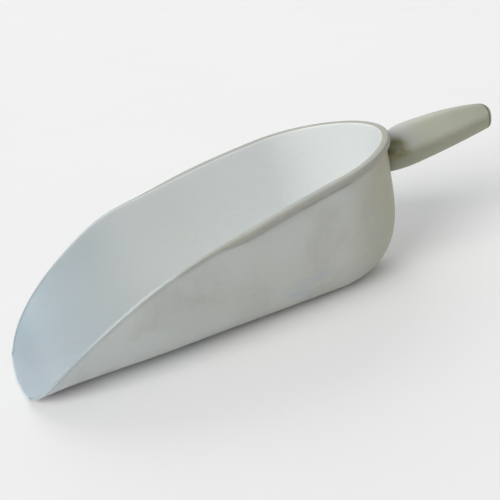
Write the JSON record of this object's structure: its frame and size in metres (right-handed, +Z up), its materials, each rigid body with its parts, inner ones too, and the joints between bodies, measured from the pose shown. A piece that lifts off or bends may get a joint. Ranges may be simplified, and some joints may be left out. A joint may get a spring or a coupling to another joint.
{
  "type": "feed scoop",
  "caption": "Open, boat-shaped plastic scoop for feed or grain, with a rolled rim bead, a flat keel to stand on and a tapered hollow grip fixed to its back wall.",
  "frame": {"origin": "on the surface the scoop stands on, below the middle of its whole length and width", "axes": "+X from the lip towards the grip, +Z up from the flat keel to the rim, Y across the bowl"},
  "size_m": [0.3803, 0.1542, 0.1024],
  "materials": {
    "bowl_plastic": "satin",
    "grip_plastic": "satin",
    "plug_plastic": "satin",
    "fixing_steel": "zinc plated"
  },
  "bodies": {
    "root": {"bowl": "bowl_plastic", "handle": "grip_plastic", "handle_plug": "plug_plastic", "fixing_screw": "fixing_steel", "screw_washer": "fixing_steel"}
  },
  "joints": []
}
